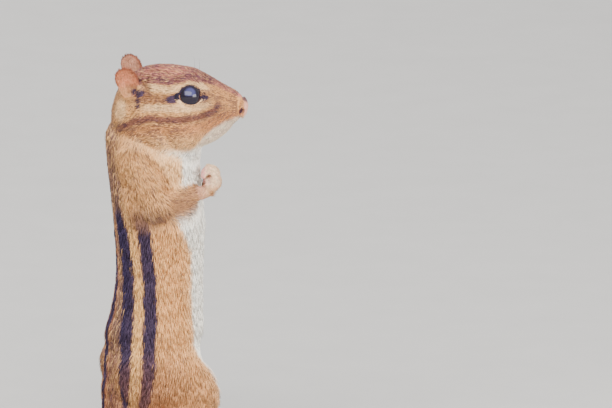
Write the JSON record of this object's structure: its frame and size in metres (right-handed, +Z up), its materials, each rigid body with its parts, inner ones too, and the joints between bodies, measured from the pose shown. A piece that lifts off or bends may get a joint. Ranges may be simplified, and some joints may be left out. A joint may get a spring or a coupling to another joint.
{
  "type": "eastern chipmunk",
  "caption": "Life-size eastern chipmunk standing upright on its haunches, forepaws held at the chest, tail lying on the floor behind.",
  "frame": {"origin": "on the floor, under the middle of the bounding box", "axes": "+X the way the animal faces, +Y to its left side, +Z up"},
  "size_m": [0.1418, 0.0458, 0.1468],
  "materials": {
    "tan_fur": "short dense fur, tan on the flanks and white below",
    "tail_fur": "longer flat fur, dark with pale tips",
    "ear_skin": "thin bare-looking skin with fine down",
    "nose_skin": "matt moist skin",
    "paw_skin": "thinly haired skin",
    "eye": "wet gloss",
    "claw": "smooth horn"
  },
  "bodies": {
    "root": {"belly": "tan_fur", "chest": "tan_fur", "claw_fore_left_1": "claw", "claw_fore_left_2": "claw", "claw_fore_left_3": "claw", "claw_fore_left_4": "claw", "claw_fore_right_1": "claw", "claw_fore_right_2": "claw", "claw_fore_right_3": "claw", "claw_fore_right_4": "claw", "claw_hind_left_1": "claw", "claw_hind_left_2": "claw", "claw_hind_left_3": "claw", "claw_hind_left_4": "claw", "claw_hind_left_5": "claw", "claw_hind_right_1": "claw", "claw_hind_right_2": "claw", "claw_hind_right_3": "claw", "claw_hind_right_4": "claw", "claw_hind_right_5": "claw", "ear_left": "ear_skin", "ear_right": "ear_skin", "eye_left": "eye", "eye_right": "eye", "forearm_left": "tan_fur", "forearm_right": "tan_fur", "forepaw_left": "paw_skin", "forepaw_right": "paw_skin", "head": "tan_fur", "hind_foot_left": "paw_skin", "hind_foot_right": "paw_skin", "jaw": "tan_fur", "neck": "tan_fur", "nose": "nose_skin", "rump": "tan_fur", "shank_left": "tan_fur", "shank_right": "tan_fur", "tail_base": "tail_fur", "tail_middle": "tail_fur", "tail_tip": "tail_fur", "thigh_left": "tan_fur", "thigh_right": "tan_fur", "upper_arm_left": "tan_fur", "upper_arm_right": "tan_fur"}
  },
  "joints": []
}
